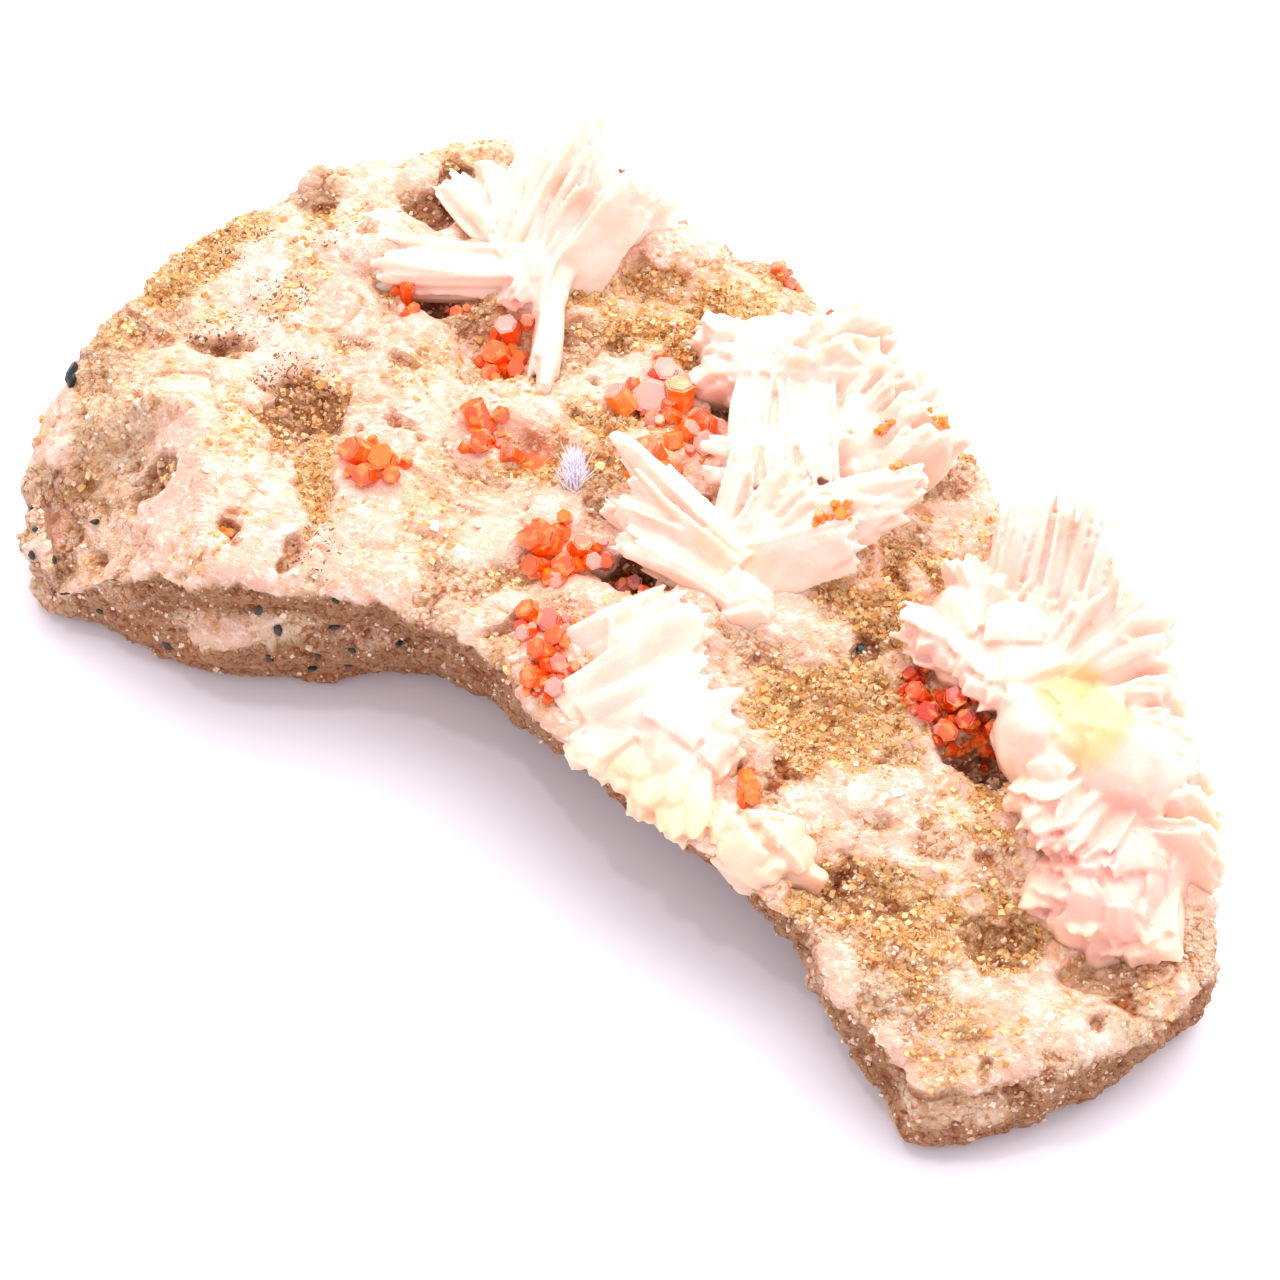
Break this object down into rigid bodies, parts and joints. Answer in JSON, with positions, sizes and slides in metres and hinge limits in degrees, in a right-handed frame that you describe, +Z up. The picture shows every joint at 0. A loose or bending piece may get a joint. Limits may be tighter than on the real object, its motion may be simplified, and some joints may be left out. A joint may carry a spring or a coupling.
{
  "type": "vanadinite on matrix",
  "caption": "Curved slab of brown and ochre matrix rock with white bladed barite crests and clusters of orange-red vanadinite prisms on its upper side.",
  "frame": {"origin": "centre of the bounding box's lower face, on the surface that the slab rests on", "axes": "+X along the long chord, from the broad end to the narrow end; +Y towards the convex side; +Z up, away from the surface"},
  "size_m": [0.0894, 0.0504, 0.0208],
  "materials": {
    "rock": "matte",
    "barite": "satin",
    "vanadinite": "gloss",
    "pale_needles": "satin"
  },
  "bodies": {
    "root": {"matrix": "rock", "barite_back_fan": "barite", "barite_middle_crest": "barite", "barite_front_fan": "barite", "barite_end_crest": "barite", "vanadinite_vug_left": "vanadinite", "vanadinite_vug_right": "vanadinite", "vanadinite_recess": "vanadinite", "vanadinite_broad_end": "vanadinite", "vanadinite_recess_lip": "vanadinite", "vanadinite_barrel": "vanadinite", "vanadinite_plates": "vanadinite", "vanadinite_tabular": "vanadinite", "vanadinite_behind_blade": "vanadinite", "vanadinite_middle": "vanadinite", "vanadinite_dark_hole": "vanadinite", "vanadinite_front_upper": "vanadinite", "vanadinite_front_lower": "vanadinite", "vanadinite_crust_hole": "vanadinite", "vanadinite_crumb_field": "vanadinite", "vanadinite_nest": "vanadinite", "vanadinite_back_rim": "vanadinite", "vanadinite_back_rim_right": "vanadinite", "vanadinite_crest_foot": "vanadinite", "vanadinite_ochre": "vanadinite", "vanadinite_end_back": "vanadinite", "pale_tuft": "pale_needles"}
  },
  "joints": []
}
